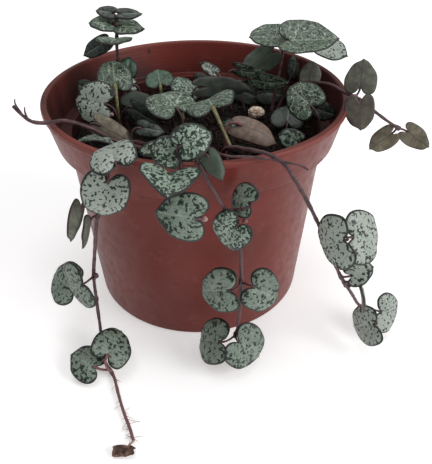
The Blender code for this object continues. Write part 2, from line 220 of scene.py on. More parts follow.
def terracotta_plastic():
    made, tree, shader = new_finish("terracotta_plastic", 0.4, Specular_IOR_Level=0.22)
    where = own_places(tree)
    parts = add_node(tree, "ShaderNodeSeparateXYZ", {"Vector": where})
    broad = cloud(tree, where, 22, 2)
    fine = cloud(tree, where, 900, 4)
    colour = blend_colours(tree, stepped(tree, broad, 0.3, 0.7), POT_DEEP, POT_FAIR)
    # the skin is a little greyer where it has been rubbed, and the top of the lip is painted lighter
    # as well: a painted highlight
    rubbed = sums(tree, "MULTIPLY", stepped(tree, cloud(tree, where, 140, 6, 0.7), 0.52, 0.75), 0.30)
    colour = blend_colours(tree, rubbed, colour, POT_WEAR_AND_HIGHLIGHT)
    # painted highlight: the top of the lip is lightened towards the rubbed colour
    lip_highlight = stepped(tree, parts.outputs["Z"], (POT_HEIGHT - 1.6) * MM, (POT_HEIGHT - 0.1) * MM)
    colour = blend_colours(tree, sums(tree, "MULTIPLY", lip_highlight, 0.35), colour, POT_WEAR_AND_HIGHLIGHT)
    # specks of soil and one run of dried water
    for place, size, shade, strength in POT_MARKS:
        away = vector_sums(tree, "SUBTRACT", where, place * MM)[0]
        shaped = vector_sums(tree, "DIVIDE", away, Vector(size))[0]
        span = vector_sums(tree, "LENGTH", shaped)["Value"]
        ragged = sums(tree, "ADD", span, sums(tree, "MULTIPLY", fine, 0.9 * MM))
        share = stepped(tree, ragged, 1.35 * MM, 0.85 * MM, 0.0, strength)
        colour = blend_colours(tree, share, colour, shade)
    # inside, the wall over the soil is painted darker, reaching highest at its two sides: mostly
    # painted shade where the pot and the leaves shade the inner wall, and partly a compost stain
    normal = add_node(tree, "ShaderNodeNewGeometry").outputs["Normal"]
    level = vector_sums(tree, "MULTIPLY", normal, Vector((1, 1, 0)))[0]
    facing = vector_sums(tree, "DOT_PRODUCT", level, where)["Value"]
    inward = stepped(tree, facing, 0.030, 0.010)
    inward = sums(tree, "MULTIPLY", inward, stepped(tree, parts.outputs["Z"], 0.040, 0.060))
    sideways = sums(tree, "ABSOLUTE", sums(tree, "ADD", parts.outputs["X"], 0.004))
    height = sums(tree, "SUBTRACT", parts.outputs["Z"], sums(tree, "MULTIPLY", sideways, 0.36))
    height = sums(tree, "ADD", height, sums(tree, "MULTIPLY", cloud(tree, where, 60, 4), 0.018))
    darkening = sums(tree, "MULTIPLY", stepped(tree, height, 0.092, 0.070), inward)
    colour = blend_colours(tree, sums(tree, "MULTIPLY", darkening, 0.88), colour, SOIL_AND_SHADE_MARK)
    tree.links.new(colour, shader.inputs["Base Color"])
    gloss = stepped(tree, cloud(tree, where, 260, 5, 0.65), 0.3, 0.75, 0.34, 0.52)
    tree.links.new(gloss, shader.inputs["Roughness"])
    rings = add_node(
        tree,
        "ShaderNodeTexWave",
        {"Vector": where, "Scale": 190.0, "Distortion": 1.2, "Detail": 2.0},
        bands_direction="Z",
    )
    grain = sums(tree, "ADD", sums(tree, "MULTIPLY", rings.outputs["Fac"], 0.35), fine)
    bumped(tree, shader, grain, 0.00006, 0.5)
    return made


POT_FAIR = screen(112, 45, 38)
POT_DEEP = screen(101, 39, 33)
# the colour of rubbed patches, also used for the painted highlight on the lip
POT_WEAR_AND_HIGHLIGHT = screen(136, 82, 74)
# the colour of soil specks on the pot, also used for the painted shade on its inner wall
SOIL_AND_SHADE_MARK = screen(40, 24, 22)
LIME_MARK = screen(168, 140, 136)
# place, stretch along X, Y and Z, colour, strength
POT_MARKS = (
    (Vector((-23.5, 52.1, 87.2)), (1.3, 1.3, 1.9), SOIL_AND_SHADE_MARK, 0.75),
    (Vector((-24.0, 51.5, 81.0)), (0.8, 1.3, 3.2), LIME_MARK, 0.6),
    (Vector((29.0, -38.2, 34.3)), (0.9, 0.9, 0.8), SOIL_AND_SHADE_MARK, 0.7),
    (Vector((-47.2, -33.8, 85.1)), (0.5, 0.5, 0.6), SOIL_AND_SHADE_MARK, 0.8),
    (Vector((-44.8, -38.0, 86.6)), (0.4, 0.4, 0.5), SOIL_AND_SHADE_MARK, 0.8),
)
collar_top = RIM_RADIUS - 0.7
inner_wall = WALL_TOP_RADIUS - POT_WALL
pot_corners = [
    (0.0, 0.6, 0.0),
    (BASE_RADIUS - 4.2, 0.6, 0.3),
    (BASE_RADIUS - 3.4, 0.0, 0.3),
    (BASE_RADIUS, 0.0, 0.9),
    (WALL_TOP_RADIUS, STEP_HEIGHT, 0.6),
    (COLLAR_FOOT_RADIUS, STEP_HEIGHT, 0.55),
    (collar_top, POT_HEIGHT - 2.4, 0.25),
    (RIM_RADIUS, POT_HEIGHT - 2.0, 0.25),
    (RIM_RADIUS, POT_HEIGHT, 0.75),
    (collar_top - POT_WALL, POT_HEIGHT, 0.6),
    (COLLAR_FOOT_RADIUS - POT_WALL, STEP_HEIGHT + POT_WALL, 0.7),
    (inner_wall, STEP_HEIGHT + POT_WALL, 0.5),
    (BASE_RADIUS - POT_WALL, 2.0, 0.6),
    (0.0, 2.0, 0.0),
]
pot = place_piece("nursery_pot", turned_mesh("nursery_pot", rounded_profile(pot_corners), POT_SIDES))
drain_cutter = bmesh.new()
for k in range(DRAIN_HOLES):
    pin = bmesh.ops.create_cone(
        drain_cutter,
        cap_ends=True,
        segments=24,
        radius1=DRAIN_DIAMETER / 2 * MM,
        radius2=DRAIN_DIAMETER / 2 * MM,
        depth=8 * MM,
    )
    pin_place = polar(360 * k / DRAIN_HOLES, DRAIN_CIRCLE, 1.0) * MM
    bmesh.ops.translate(drain_cutter, verts=pin["verts"], vec=pin_place)
drain_pins = place_piece("drain_pins", mesh_from(drain_cutter, "drain_pins"))
drilled = pot.modifiers.new("drain holes", "BOOLEAN")
drilled.operation = "DIFFERENCE"
drilled.object = drain_pins


def finish_mesh(piece, *finishes):
    """Turns a piece's modifiers into plain mesh and gives it its materials."""
    graph = bpy.context.evaluated_depsgraph_get()
    graph.update()
    mesh = bpy.data.meshes.new_from_object(piece.evaluated_get(graph))
    piece.modifiers.clear()
    piece.data = mesh
    if finishes:
        mesh.materials.clear()
        for finish in finishes:
            mesh.materials.append(finish)


finish_mesh(pot, terracotta_plastic())
pot.data.set_sharp_from_angle(angle=radians(50))
bpy.data.objects.remove(drain_pins)
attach(pot, "root")
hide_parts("pot")


# Potting soil
# Fibrous compost that fills the pot to below the step, coloured near black: partly its own dark colour
# and partly painted shade for the deep shadow among the leaves. It is one rough body, with loose
# crumbs of bark and peat and a lump of pumice that lie on its top.
SOIL_LOW, SOIL_HIGH = (Vector(corner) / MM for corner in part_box("soil"))
SOIL_TOP = SOIL_HIGH.z
SOIL_RADIUS = SOIL_HIGH.x


def rough_soil(p):
    """Lifts and sinks the top of the soil, and leaves its side and bottom alone."""
    if p.z < SOIL_TOP - 1.0:
        return p
    lift = 1.1 * noise.noise(p * 0.09) + 0.7 * noise.noise(p * 0.31) + 0.35 * noise.noise(p * 0.9)
    return p + Vector((0, 0, lift - 0.3))


def compost(name, dark, fair, size):
    made, tree, shader = new_finish(name, 0.95, Specular_IOR_Level=0.2)
    where = own_places(tree)
    lumps = cloud(tree, where, size, 5, 0.65)
    colour = blend_colours(tree, stepped(tree, lumps, 0.35, 0.7), dark, fair)
    tree.links.new(colour, shader.inputs["Base Color"])
    bumped(tree, shader, cloud(tree, where, size * 3, 6, 0.7), 0.0008)
    return made


soil_profile = [(0.0, SOIL_LOW.z), (BASE_RADIUS - 2.2, SOIL_LOW.z)]
soil_profile += [(SOIL_RADIUS - 0.2, SOIL_TOP - 1.2)]
soil_profile += [(SOIL_RADIUS - 0.2 - 0.9 * k, SOIL_TOP) for k in range(55)]
soil_profile += [(0.0, SOIL_TOP)]
soil_mesh = turned_mesh("potting_soil", soil_profile, 160, rough_soil)
soil = place_piece("potting_soil", soil_mesh)
# the peat's near-black colour is partly its own and partly painted shade among the leaves
soil_mesh.materials.append(compost("peat", screen(9, 7, 7), screen(27, 21, 20), 420))
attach(soil, "root")
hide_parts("soil")


def open_tree(name, taken, inputs, given):
    """A Geometry Nodes tree with its named inputs, whole numbers and others, and its output."""
    tree = bpy.data.node_groups.new(name, "GeometryNodeTree")
    face = tree.interface
    face.new_socket(taken, in_out="INPUT", socket_type="NodeSocketGeometry")
    for label, value in inputs.items():
        kind = "NodeSocketInt" if isinstance(value, int) else "NodeSocketFloat"
        face.new_socket(label, in_out="INPUT", socket_type=kind).default_value = value
    face.new_socket(given, in_out="OUTPUT", socket_type="NodeSocketGeometry")
    return tree, tree.nodes.new("NodeGroupInput").outputs


def close_tree(tree, shape, finish, given):
    """Makes the instances real, gives them their material and sends them out."""
    real = add_node(tree, "GeometryNodeRealizeInstances", {"Geometry": shape})
    inputs = {"Geometry": real.outputs["Geometry"], "Material": finish}
    skin = add_node(tree, "GeometryNodeSetMaterial", inputs)
    end = tree.nodes.new("NodeGroupOutput")
    tree.links.new(skin.outputs["Geometry"], end.inputs[given])


def about_zero(tree, noise_colour):
    """Noise from 0 to 1 on three axes, moved to lie about zero."""
    return vector_sums(tree, "SUBTRACT", noise_colour, Vector((0.5, 0.5, 0.5)))[0]


def scatter_tree(finish):
    """Small uneven lumps strewn over a surface."""
    inputs = {"Density": 0.2e6, "Smallest": 0.4 * MM, "Largest": 1.6 * MM, "Seed": 3}
    tree, start = open_tree("strewn crumbs", "Surface", inputs, "Crumbs")
    spots = add_node(
        tree,
        "GeometryNodeDistributePointsOnFaces",
        {"Mesh": start["Surface"], "Density": start["Density"], "Seed": start["Seed"]},
    )
    lump = add_node(tree, "GeometryNodeMeshIcoSphere", {"Radius": 0.5, "Subdivisions": 2})
    uneven = add_node(tree, "ShaderNodeTexNoise", {"Scale": 2.2, "Detail": 1.0})
    push = about_zero(tree, uneven.outputs["Color"])
    rough = add_node(
        tree, "GeometryNodeSetPosition", {"Geometry": lump.outputs["Mesh"], "Offset": push}
    )
    turn = add_node(tree, "FunctionNodeRandomValue", data_type="FLOAT_VECTOR")
    turn.inputs["Max"].default_value = (2 * pi, 2 * pi, 2 * pi)
    tree.links.new(start["Seed"], turn.inputs["Seed"])
    size = add_node(tree, "FunctionNodeRandomValue", data_type="FLOAT")
    tree.links.new(start["Smallest"], size.inputs[2])
    tree.links.new(start["Largest"], size.inputs[3])
    tree.links.new(start["Seed"], size.inputs["Seed"])
    strewn = add_node(
        tree,
        "GeometryNodeInstanceOnPoints",
        {
            "Points": spots.outputs["Points"],
            "Instance": rough.outputs["Geometry"],
            "Rotation": turn.outputs["Value"],
            "Scale": size.outputs[1],
        },
    )
    close_tree(tree, strewn.outputs["Instances"], finish, "Crumbs")
    return tree


def set_inputs(modifier, values):
    """Sets a Geometry Nodes modifier's inputs by name, through their identifiers."""
    for item in modifier.node_group.interface.items_tree:
        if item.item_type == "SOCKET" and item.in_out == "INPUT" and item.name in values:
            modifier[item.identifier] = values[item.name]


def strew(name, finish, values):
    """Crumbs on the soil, as a piece of their own."""
    disc = bmesh.new()
    bmesh.ops.create_circle(disc, cap_ends=True, segments=48, radius=(SOIL_RADIUS - 1.0) * MM)
    bmesh.ops.translate(disc, verts=disc.verts, vec=(0, 0, SOIL_TOP * MM))
    piece = place_piece(name, mesh_from(disc, name))
    made = piece.modifiers.new("crumbs", "NODES")
    made.node_group = scatter_tree(finish)
    set_inputs(made, values)
    finish_mesh(piece, finish)
    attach(piece, "root")
    return piece


bark = compost("bark_crumbs", screen(16, 12, 11), screen(58, 44, 38), 700)
crumb_sizes = {"Density": 0.34e6, "Smallest": 0.6 * MM, "Largest": 2.2 * MM, "Seed": 5}
crumbs = strew("soil_crumbs", bark, crumb_sizes)


# Lump of pumice
# A pale, porous crumb of volcanic rock left on the soil, broken and pitted all over.
PUMICE_LOW, PUMICE_HIGH = (Vector(corner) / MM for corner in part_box("pumice_lump"))


def broken_lump(name, low, high, pits, detail=5):
    """A pitted, angular lump that fills a box."""
    work = bmesh.new()
    bmesh.ops.create_icosphere(work, subdivisions=detail, radius=1.0)
    middle, half = (low + high) / 2, (high - low) / 2
    for vertex in work.verts:
        p = vertex.co.copy()
        facet = 1.0 + 0.16 * noise.noise(p * 1.3 + middle)
        facet -= 0.10 * abs(noise.noise(p * 2.6 + middle))
        facet -= pits * max(0.0, noise.noise(p * 6.0 + middle)) ** 2
        vertex.co = (middle + Vector(a * b for a, b in zip(p * facet, half))) * MM
    mesh = mesh_from(work, name)
    mesh.shade_smooth()
    return mesh


def pumice_stone():
    made, tree, shader = new_finish("pumice_stone", 0.9, Specular_IOR_Level=0.25)
    where = own_places(tree)
    holes = add_node(tree, "ShaderNodeTexVoronoi", {"Vector": where, "Scale": 1300.0})
    pit = stepped(tree, holes.outputs["Distance"], 0.10, 0.36)
    darkening = stepped(tree, cloud(tree, where, 420, 4), 0.42, 0.62)
    colour = blend_colours(tree, darkening, screen(236, 224, 208), screen(196, 168, 148))
    # painted shade: the pits are coloured darker than the rock around them
    colour = blend_colours(tree, pit, screen(150, 126, 108), colour)
    tree.links.new(colour, shader.inputs["Base Color"])
    bumped(tree, shader, pit, 0.0003, 0.8)
    return made


pumice = place_piece("pumice_lump", broken_lump("pumice_lump", PUMICE_LOW, PUMICE_HIGH, 0.9))
pumice.data.materials.append(pumice_stone())
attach(pumice, "root")
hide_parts("pumice_lump")


# Stems
# Eight thin, dark purple stems grow from the soil. Some trail over the rim and hang down the
# pot, and one lies on the surface. Each swells where a pair of leaves grows from it.
VINE = 1.3
OLD_VINE = 1.8
STALK = 1.1
STALK_SIDES = 10
VINE_STEP = 1.2
FOOT_GIRTH = 1.16
VINE_TAPER = 0.26
RUNNER_TAPER = 0.50
JOINT_SWELL = 0.34
JOINT_REACH = 0.95


def inside(bearing, share, lift):
    """Over the soil, at a share of its radius."""
    return polar(bearing, share * SOIL_RADIUS, SOIL_TOP + lift)


def rim(bearing, out, lift):
    """Near the rim: so far outside it (or inside, if negative) and so far above it."""
    return polar(bearing, RIM_RADIUS + out, POT_HEIGHT + lift)


def drop(bearing, out, share):
    """Beside the pot, at a share of its height."""
    return polar(bearing, RIM_RADIUS + out, share * POT_HEIGHT)


def table(bearing, out, lift):
    """Over the surface that the pot stands on, so far beyond the rim."""
    return polar(bearing, RIM_RADIUS + out, lift)


# Places from the soil outwards, each chosen by hand with a separate program's help.
# name: (diameter, places)
VINES = {
    "stem_left": (VINE, [
        inside(232, 0.46, 1.0), inside(239, 0.66, 9), inside(243, 0.90, 16.5), rim(246, -5.4, 1.4),
        rim(248, 1.6, 1.3), rim(247, 5.0, -1.0), drop(244, 5.6, 0.88), drop(240, 5.6, 0.73),
        drop(237, 5.0, 0.58), drop(234.5, 5.2, 0.42), drop(234, 5.4, 0.27), drop(234.5, 6.2, 0.14),
        table(235.5, 7.8, 4.5), table(238, 11.0, 1.5), table(242, 14.0, 1.1), table(246, 17.5, 1.1),
        table(250, 24.0, 1.1), table(253.5, 30.5, 1.1), table(256.5, 36.5, 1.1), table(258, 40.5, 1.1),
    ]),
    "stem_centre": (VINE, [
        inside(266, 0.34, 1.0), inside(270, 0.60, 9), inside(272, 0.88, 17.5), rim(272, -6.0, 2.0),
        rim(272, 0.0, 2.4), rim(273.5, 3.6, 0.3), drop(276, 4.6, 0.94), drop(280, 4.6, 0.84),
        drop(283.5, 4.4, 0.76), drop(285, 4.3, 0.62), drop(285.5, 4.3, 0.44), drop(285, 4.3, 0.25),
        drop(284, 4.0, 0.16),
    ]),
    "stem_short": (VINE, [
        inside(250, 0.46, 1.0), inside(259, 0.74, 10), rim(264.5, -9.6, 0.6), rim(266.5, -2.0, 2.2),
        rim(267.5, 3.2, 0.0), drop(268.5, 5.6, 0.93), drop(270.5, 6.2, 0.86), drop(273.5, 6.6, 0.80),
    ]),
    "stem_right_front": (VINE, [
        inside(286, 0.58, 1.0), inside(283, 0.83, 11), rim(284, -9.5, 0.2), rim(288.5, -3.2, 2.2),
        rim(293, 1.4, 2.2), rim(296, 6.4, 0.6), drop(298, 10.0, 0.955), drop(300.5, 12.8, 0.88),
        drop(303, 14.6, 0.80), drop(306, 16.4, 0.70), drop(309, 17.6, 0.59), drop(312.5, 19.6, 0.47),
        drop(317, 21.6, 0.35), drop(321, 22.8, 0.25), drop(324.5, 23.6, 0.206),
    ]),
    "runner_left": (OLD_VINE, [
        inside(228, 0.50, 1.3), inside(225, 0.78, 10), rim(221, -12.0, -1.6), rim(217, -4.6, 2.2),
        rim(214.5, 0.8, 2.0), rim(213, 5.5, 3.0), rim(210.5, 8.0, 5.2), rim(208, 9.6, 7.4),
    ]),
    "stem_right": (VINE, [
        inside(28, 0.80, 1.0), inside(27, 0.85, 7), rim(20, -14.4, -5.0), rim(11, -13.3, -0.8),
        rim(-2.5, -9.4, 3.2), rim(-8, -6.4, 4.4), rim(-12, -2.2, 3.6), rim(-14, 2.6, 2.6),
        rim(-14.5, 8.5, -0.8), rim(-13.5, 15.0, -5.4), rim(-12, 20.0, -9.0),
    ]),
    "shoot_back_left": (VINE, [
        inside(152, 0.70, 1.0), inside(150, 0.74, 10), rim(149, -21.5, 1.0), rim(148, -21.0, 9.0),
        rim(146, -20.6, 16.0), rim(145, -20.6, 21.5),
    ]),
    "shoot_back_right": (VINE, [
        inside(30, 0.76, 1.0), inside(31, 0.80, 10), rim(32.5, -17.6, 1.0), rim(34, -15.8, 9.0),
    ]),
}
# Where each leaf grows; most rows were changed after they were first worked out.
# A separate program first worked these rows out, and most were changed afterwards. name:
# stem, place of its notch, heading, pitch, roll, length, width
LEAVES = {
    "leaf_left_1": ("stem_left", rim(252.5, 11.6, 5.6), 108, 8, -17, 12.5, 15),
    "leaf_left_2": ("stem_left", drop(248.3, 8.8, 0.96), -148, -70, -65, 13.5, 15.5),
    "leaf_left_3": ("stem_left", drop(239.6, 10.8, 0.83), -118, -54, 85, 11.5, 8.5),
    "leaf_left_4": ("stem_left", drop(240.6, 9.4, 0.765), -106, -50, 75, 9, 7.5),
    "leaf_left_5": ("stem_left", drop(222.5, 7.0, 0.29), 140, -5, -45, 13, 18),
    "leaf_left_6": ("stem_left", drop(234.6, 10.8, 0.425), 152, -40, -80, 9.5, 19.5),
    "leaf_left_7": ("stem_left", table(243.8, 15.8, 11.0), 70, 5, 32, 13.5, 16),
    "leaf_left_8": ("stem_left", table(241, 19.6, 6.0), 155, 10, -30, 11.5, 14.5),
    "leaf_centre_1": ("stem_centre", drop(286, 8.0, 0.88), 127, -3, -60, 9.5, 11.5),
    "leaf_centre_2": ("stem_centre", drop(282.5, 9.8, 0.81), 165, -55, -75, 11.5, 14),
    "leaf_centre_3": ("stem_centre", drop(281, 9.0, 0.49), 155, -20, -65, 13, 16.5),
    "leaf_centre_4": ("stem_centre", drop(288.4, 7.8, 0.475), 8, -38, 62, 12.5, 16),
    "leaf_centre_5": ("stem_centre", drop(278.5, 7.5, 0.19), 140, -30, -50, 14.5, 18),
    "leaf_centre_6": ("stem_centre", drop(284.2, 8.2, 0.184), 9, -50, 60, 14.5, 18.5),
    "leaf_short_1": ("stem_short", drop(272, 12.0, 0.865), 175, 8, -62, 13, 15.5),
    "leaf_cluster_1": ("stem_centre", rim(268, 4.8, 9.2), 15, 20, 60, 10, 11),
    "leaf_cluster_2": ("stem_short", rim(266.5, 2.7, 5.0), 175, 20, -60, 8.5, 10),
    "leaf_cluster_3": ("stem_short", rim(265.5, 8.8, 2.0), -90, 3, -6, 12.5, 18),
    "leaf_cluster_4": ("stem_centre", rim(275.1, 2.9, 4.8), -38, -48, -128, 8.5, 6.5),
    "leaf_right_front_1": ("stem_right_front", drop(304.6, 26.6, 0.765), 137, -34, -80, 11.5, 19),
    "leaf_right_front_2": ("stem_right_front", drop(308.2, 25.4, 0.745), 28, -18, 55, 13.5, 18.5),
    "leaf_right_front_3": ("stem_right_front", drop(313.5, 22.4, 0.49), 5, 25, 45, 8.5, 9.5),
    "leaf_right_front_4": ("stem_right_front", drop(314.0, 27.2, 0.455), -66, -62, -58, 8.5, 9.5),
    "leaf_right_front_5": ("stem_right_front", drop(321.4, 30.4, 0.172), 138, -38, -74, 11.5, 17),
    "leaf_right_front_6": ("stem_right_front", drop(328.2, 29.0, 0.15), 20, -30, 60, 11.5, 17),
    "leaf_right_1": ("stem_right", rim(347.5, 3.1, 6.0), 80, 70, 175, 10, 12),
    "leaf_right_2": ("stem_right", rim(342.5, 3.8, 3.4), -86, -60, -165, 10.5, 11),
    "leaf_right_3": ("stem_right", rim(347.5, 17.6, -11.0), -175, -40, 125, 10, 8.5),
    "leaf_right_4": ("stem_right", rim(349, 23.2, -10.6), -30, -25, -120, 10, 8.5),
    "leaf_back_right_1": ("shoot_back_right", rim(28.5, -16.6, 12.0), -5, 3, 20, 19.5, 21.5),
    "leaf_back_right_2": ("shoot_back_right", rim(38.5, -13.0, 10.6), 177, -1, -16, 14.5, 17),
    "leaf_back_right_3": ("shoot_back_right", rim(33, 4.6, 5.2), -20, -16, 24, 12.5, 13.5),
    "leaf_back_left_1": ("shoot_back_left", rim(147.5, -19.2, 18.4), -175, 7, -18, 9, 11),
    "leaf_back_left_2": ("shoot_back_left", rim(147, -22.6, 18.0), 8, -5, 18, 10, 11),
    "leaf_back_left_3": ("shoot_back_left", rim(153.0, -23.6, 14.4), -92, 8, 0, 11, 14.5),
    "leaf_back_left_4": ("shoot_back_left", rim(148, -15.4, 10.9), -161, -25, -62, 11, 7.5),
    "leaf_back_left_5": ("shoot_back_left", rim(145.5, -19.4, 22.4), 173, 8, -42, 7, 6),
    "leaf_back_left_6": ("shoot_back_left", rim(145.5, -22.6, 22.7), 9, -3, 34, 9, 5.5),
    "leaf_inner_1": ("soil", inside(192.5, 0.72, 16), 160, 0, -60, 14, 17),
    "leaf_inner_2": ("soil", inside(172.5, 0.66, 19), 100, 40, 0, 12.5, 14.5),
    "leaf_inner_3": ("soil", inside(123.5, 0.60, 11), 100, 15, -5, 11, 13),
    "leaf_inner_4": ("soil", inside(250, 0.38, 19), 122, 10, 2, 15.5, 20),
    "leaf_inner_5": ("soil", inside(110.5, 0.32, 11), 80, 12, 25, 11, 13.5),
    "leaf_inner_6": ("soil", inside(170, 0.58, 9), 15, 15, -115, 10.5, 11),
    "leaf_inner_7": ("soil", inside(211, 0.84, 14), -5, -28, -120, 14, 9),
    "leaf_inner_8": ("soil", inside(288, 0.46, 21), 100, -5, -20, 14, 19),
    "leaf_inner_9": ("soil", inside(297.5, 0.71, 19), -10, -20, -143, 15, 9.5),
    "leaf_inner_10": ("soil", inside(345, 0.93, 17), 140, 26, -55, 12.5, 14.5),
}
# Thinner growth. name: (diameter, places, share of its girth left at the tip)
TWIGS = {
    "rim_vine": (1.2, [
        inside(272, 0.66, 4.0), rim(276, -10.0, -1.0), rim(279, -4.6, 1.2), rim(282, -1.6, 1.5),
        rim(287, -0.2, 1.4), rim(291.5, 2.0, 1.1), rim(296, 6.4, 1.0), rim(299.5, 9.6, 0.2),
        rim(301, 11.7, -0.9),
    ], 0.55),
    "runner_tip_long": (1.1, [
        rim(210.4, 8.0, 5.3), rim(209.4, 8.7, 7.4), rim(208.8, 9.0, 9.0), rim(208.8, 8.7, 10.2),
    ], 0.35),
    "runner_tip_short": (0.9, [
        rim(212.2, 6.6, 3.8), rim(211.2, 6.9, 6.2), rim(210.9, 6.5, 7.8),
    ], 0.4),
}


def smooth_path(points, step):
    """Points about a step apart on a Catmull-Rom curve through the given ones."""
    ends = [2 * points[0] - points[1], *points, 2 * points[-1] - points[-2]]
    path = []
    for before, start, end, after in zip(ends, ends[1:], ends[2:], ends[3:]):
        pieces = max(1, round((end - start).length / step))
        for k in range(pieces):
            t = k / pieces
            path.append(
                0.5
                * (
                    2 * start
                    + (end - before) * t
                    + (2 * before - 5 * start + 4 * end - after) * t**2
                    + (3 * start - before - 3 * end + after) * t**3
                )
            )
    return [*path, points[-1]]


def nearest_on(path, place):
    """The nearest point to a place, on a path of straight pieces."""
    best = None
    for start, end in zip(path, path[1:]):
        run = end - start
        share = min(1.0, max(0.0, (place - start).dot(run) / run.length_squared))
        found = start + share * run
        if best is None or (found - place).length < (best - place).length:
            best = found
    return best


def stem_tree(finish):
    """A tube on a line of points, as thick at each as its girth says, and a little knobbly."""
    inputs = {"Thickness": 1.0, "Step": 0.7 * MM, "Wander": 0.12 * MM, "Sides": 12, "Seed": 1.0}
    tree, start = open_tree("living stem", "Line", inputs, "Stem")
    line = add_node(tree, "GeometryNodeMeshToCurve", {"Mesh": start["Line"]})
    even = add_node(
        tree,
        "GeometryNodeResampleCurve",
        {"Curve": line.outputs["Curve"], "Length": start["Step"]},
        mode="LENGTH",
    )
    girth = add_node(tree, "GeometryNodeInputNamedAttribute", {"Name": "girth"}, data_type="FLOAT")
    knobs = add_node(
        tree,
        "ShaderNodeTexNoise",
        {"W": start["Seed"], "Scale": 420.0, "Detail": 2.0},
        noise_dimensions="4D",
    )
    uneven = stepped(tree, knobs.outputs["Fac"], 0.25, 0.75, 0.86, 1.14)
    radius = sums(tree, "MULTIPLY", girth.outputs["Attribute"], start["Thickness"])
    radius = sums(tree, "MULTIPLY", radius, uneven)
    thick = add_node(
        tree, "GeometryNodeSetCurveRadius", {"Curve": even.outputs["Curve"], "Radius": radius}
    )
    drift = add_node(
        tree,
        "ShaderNodeTexNoise",
        {"W": start["Seed"], "Scale": 130.0, "Detail": 1.0},
        noise_dimensions="4D",
    )
    centred = about_zero(tree, drift.outputs["Color"])
    offset = add_node(tree, "ShaderNodeVectorMath", {0: centred}, operation="SCALE")
    tree.links.new(start["Wander"], offset.inputs["Scale"])
    bent = add_node(
        tree,
        "GeometryNodeSetPosition",
        {"Geometry": thick.outputs["Curve"], "Offset": offset.outputs[0]},
    )
    ring = add_node(
        tree, "GeometryNodeCurvePrimitiveCircle", {"Resolution": start["Sides"], "Radius": 1.0}
    )
    tube = add_node(
        tree,
        "GeometryNodeCurveToMesh",
        {"Curve": bent.outputs["Geometry"], "Profile Curve": ring.outputs["Curve"], "Fill Caps": True},
    )
    if "Scale" in tube.inputs:
        tree.links.new(radius, tube.inputs["Scale"])
    smooth = add_node(tree, "GeometryNodeSetShadeSmooth", {"Geometry": tube.outputs["Mesh"]})
    close_tree(tree, smooth.outputs["Geometry"], finish, "Stem")
    return tree


def line_mesh(name, lines):
    """Lines of places, with the girth of each place in its attribute. The girth is a radius."""
    mesh = bpy.data.meshes.new(name)
    points, edges, girths = [], [], []
    for places, radii in lines:
        first = len(points)
        points += [p * MM for p in places]
        girths += [r * MM for r in radii]
        edges += [(first + k, first + k + 1) for k in range(len(places) - 1)]
    mesh.from_pydata(points, edges, [])
    girth = mesh.attributes.new("girth", "FLOAT", "POINT")
    girth.data.foreach_set("value", girths)
    return mesh


def grow_stems(name, lines, finish, values=None):
    piece = place_piece(name, line_mesh(name, lines))
    made = piece.modifiers.new("stem", "NODES")
    made.node_group = STEM_TREE
    set_inputs(made, values or {})
    finish_mesh(piece, finish)
    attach(piece, "root")
    return piece


def stem_skin(name, deep, fair, tip, mottle=0.5):
    """Purple skin with streaks of a lighter tone, and paler patches here and there."""
    made, tree, shader = new_finish(name, 0.46, Specular_IOR_Level=0.45)
    where = own_places(tree)
    streaks = stepped(tree, cloud(tree, where, 520, 4, 0.6), 0.35, 0.68)
    colour = blend_colours(tree, streaks, deep, fair)
    patches = stepped(tree, cloud(tree, where, 75, 2), 0.50, 0.66, 0.0, mottle)
    colour = blend_colours(tree, patches, colour, tip)
    # where it lies on the surface the skin has dried to a dull pink
    height = add_node(tree, "ShaderNodeSeparateXYZ", {"Vector": where}).outputs["Z"]
    colour = blend_colours(tree, stepped(tree, height, 0.009, 0.003, 0.0, 0.8), colour, DRY_SKIN)
    tree.links.new(colour, shader.inputs["Base Color"])
    bumped(tree, shader, cloud(tree, where, 1500, 3), 0.00012, 0.5)
    return made


DRY_SKIN = screen(126, 90, 90)
PURPLE = stem_skin("purple_stem", screen(52, 32, 36), screen(88, 58, 62), screen(104, 68, 70))
STEM_TREE = stem_tree(PURPLE)
stem_paths = {}
for name, (diameter, points) in VINES.items():
    path = smooth_path(points, VINE_STEP)
    stem_paths[name] = path
    joints = [nearest_on(path, row[1]) for row in LEAVES.values() if row[0] == name]
    taper = RUNNER_TAPER if name == "runner_left" else VINE_TAPER
    radii = []
    for k, place in enumerate(path):
        share = k / (len(path) - 1)
        radius = diameter / 2 * (FOOT_GIRTH - taper * share)
        for joint in joints:
            radius += JOINT_SWELL * exp(-(((place - joint).length / JOINT_REACH) ** 2))
        radii.append(radius)
    stem = grow_stems(name, [(path, radii)], PURPLE, {"Seed": float(len(stem_paths))})
    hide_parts(name)
for name, (diameter, points, left) in TWIGS.items():
    path = smooth_path(points, VINE_STEP)
    last = len(path) - 1
    radii = [diameter / 2 * (1 - (1 - left) * k / last) for k in range(last + 1)]
    twig = grow_stems(name, [(path, radii)], PURPLE, {"Seed": 20.0})


# Leaves
# Thick, fleshy hearts, broader than long, in pairs on short stalks. Silver over dark green
# above with a dark edge, olive below; each has a small point at its tip and a groove down it.
LEAF_THICKNESS = 1.4
EDGE_STEPS = 14
ROOTED = 0.6
RINGS = (0.16, 0.33, 0.49, 0.63, 0.75, 0.85, 0.92, 0.965, 0.99, 1.0)


def bezier(a, b, c, d, t):
    s = 1.0 - t
    return s**3 * a + 3 * s * s * t * b + 3 * s * t * t * c + t**3 * d


